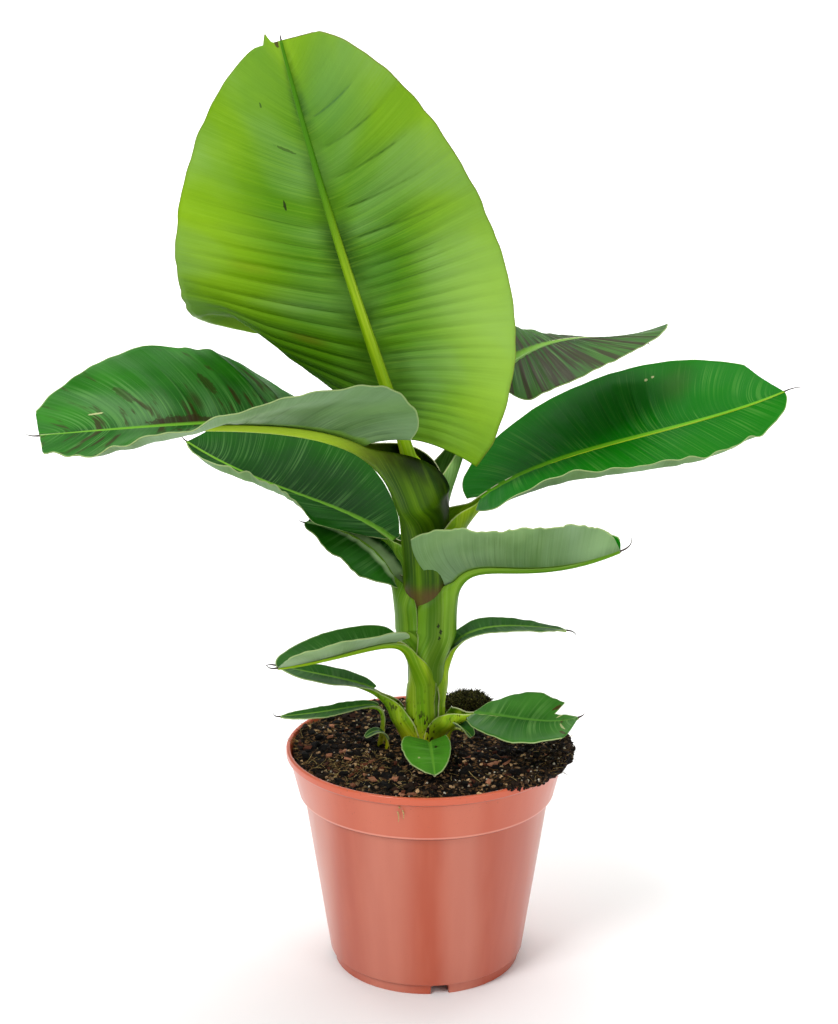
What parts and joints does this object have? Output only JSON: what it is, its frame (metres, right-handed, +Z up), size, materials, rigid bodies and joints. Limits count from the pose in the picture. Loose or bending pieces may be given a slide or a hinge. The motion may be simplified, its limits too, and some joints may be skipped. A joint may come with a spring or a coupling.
{
  "type": "potted banana plant",
  "caption": "Young dwarf banana plant with broad arching leaves on a short pseudostem, growing in a round plastic nursery pot filled with soil.",
  "frame": {"origin": "centre of the flat disc on the pot's underside", "axes": "+Z up along the pseudostem, -Y towards the plant's front, +X to its right as seen from the front"},
  "size_m": [0.4531, 0.255, 0.5533],
  "materials": {
    "pot_plastic": "moulded terracotta-coloured plastic with a soft gloss",
    "potting_soil": "damp peat and bark, rough",
    "moss": "dry moss, rough",
    "stem": "smooth fleshy leaf sheaths, satin",
    "leaf": "waxy upper side, dull grey-green underside",
    "young_leaf": "bright young blade, satin"
  },
  "bodies": {
    "root": {"pot": "pot_plastic", "soil": "potting_soil", "moss_clump": "moss", "pseudostem": "stem", "leaf_top": "young_leaf", "leaf_left_long": "leaf", "leaf_right_large": "leaf", "leaf_back_right": "leaf", "leaf_left_lower": "leaf", "leaf_left_folded": "leaf", "leaf_right_middle": "leaf", "leaf_left_small_upper": "leaf", "leaf_left_small_lower": "leaf", "leaf_left_lowest": "leaf", "leaf_right_small": "leaf", "leaf_right_low": "leaf", "leaf_front_round": "leaf", "shoot_right": "leaf", "shoot_left": "leaf"}
  },
  "joints": []
}
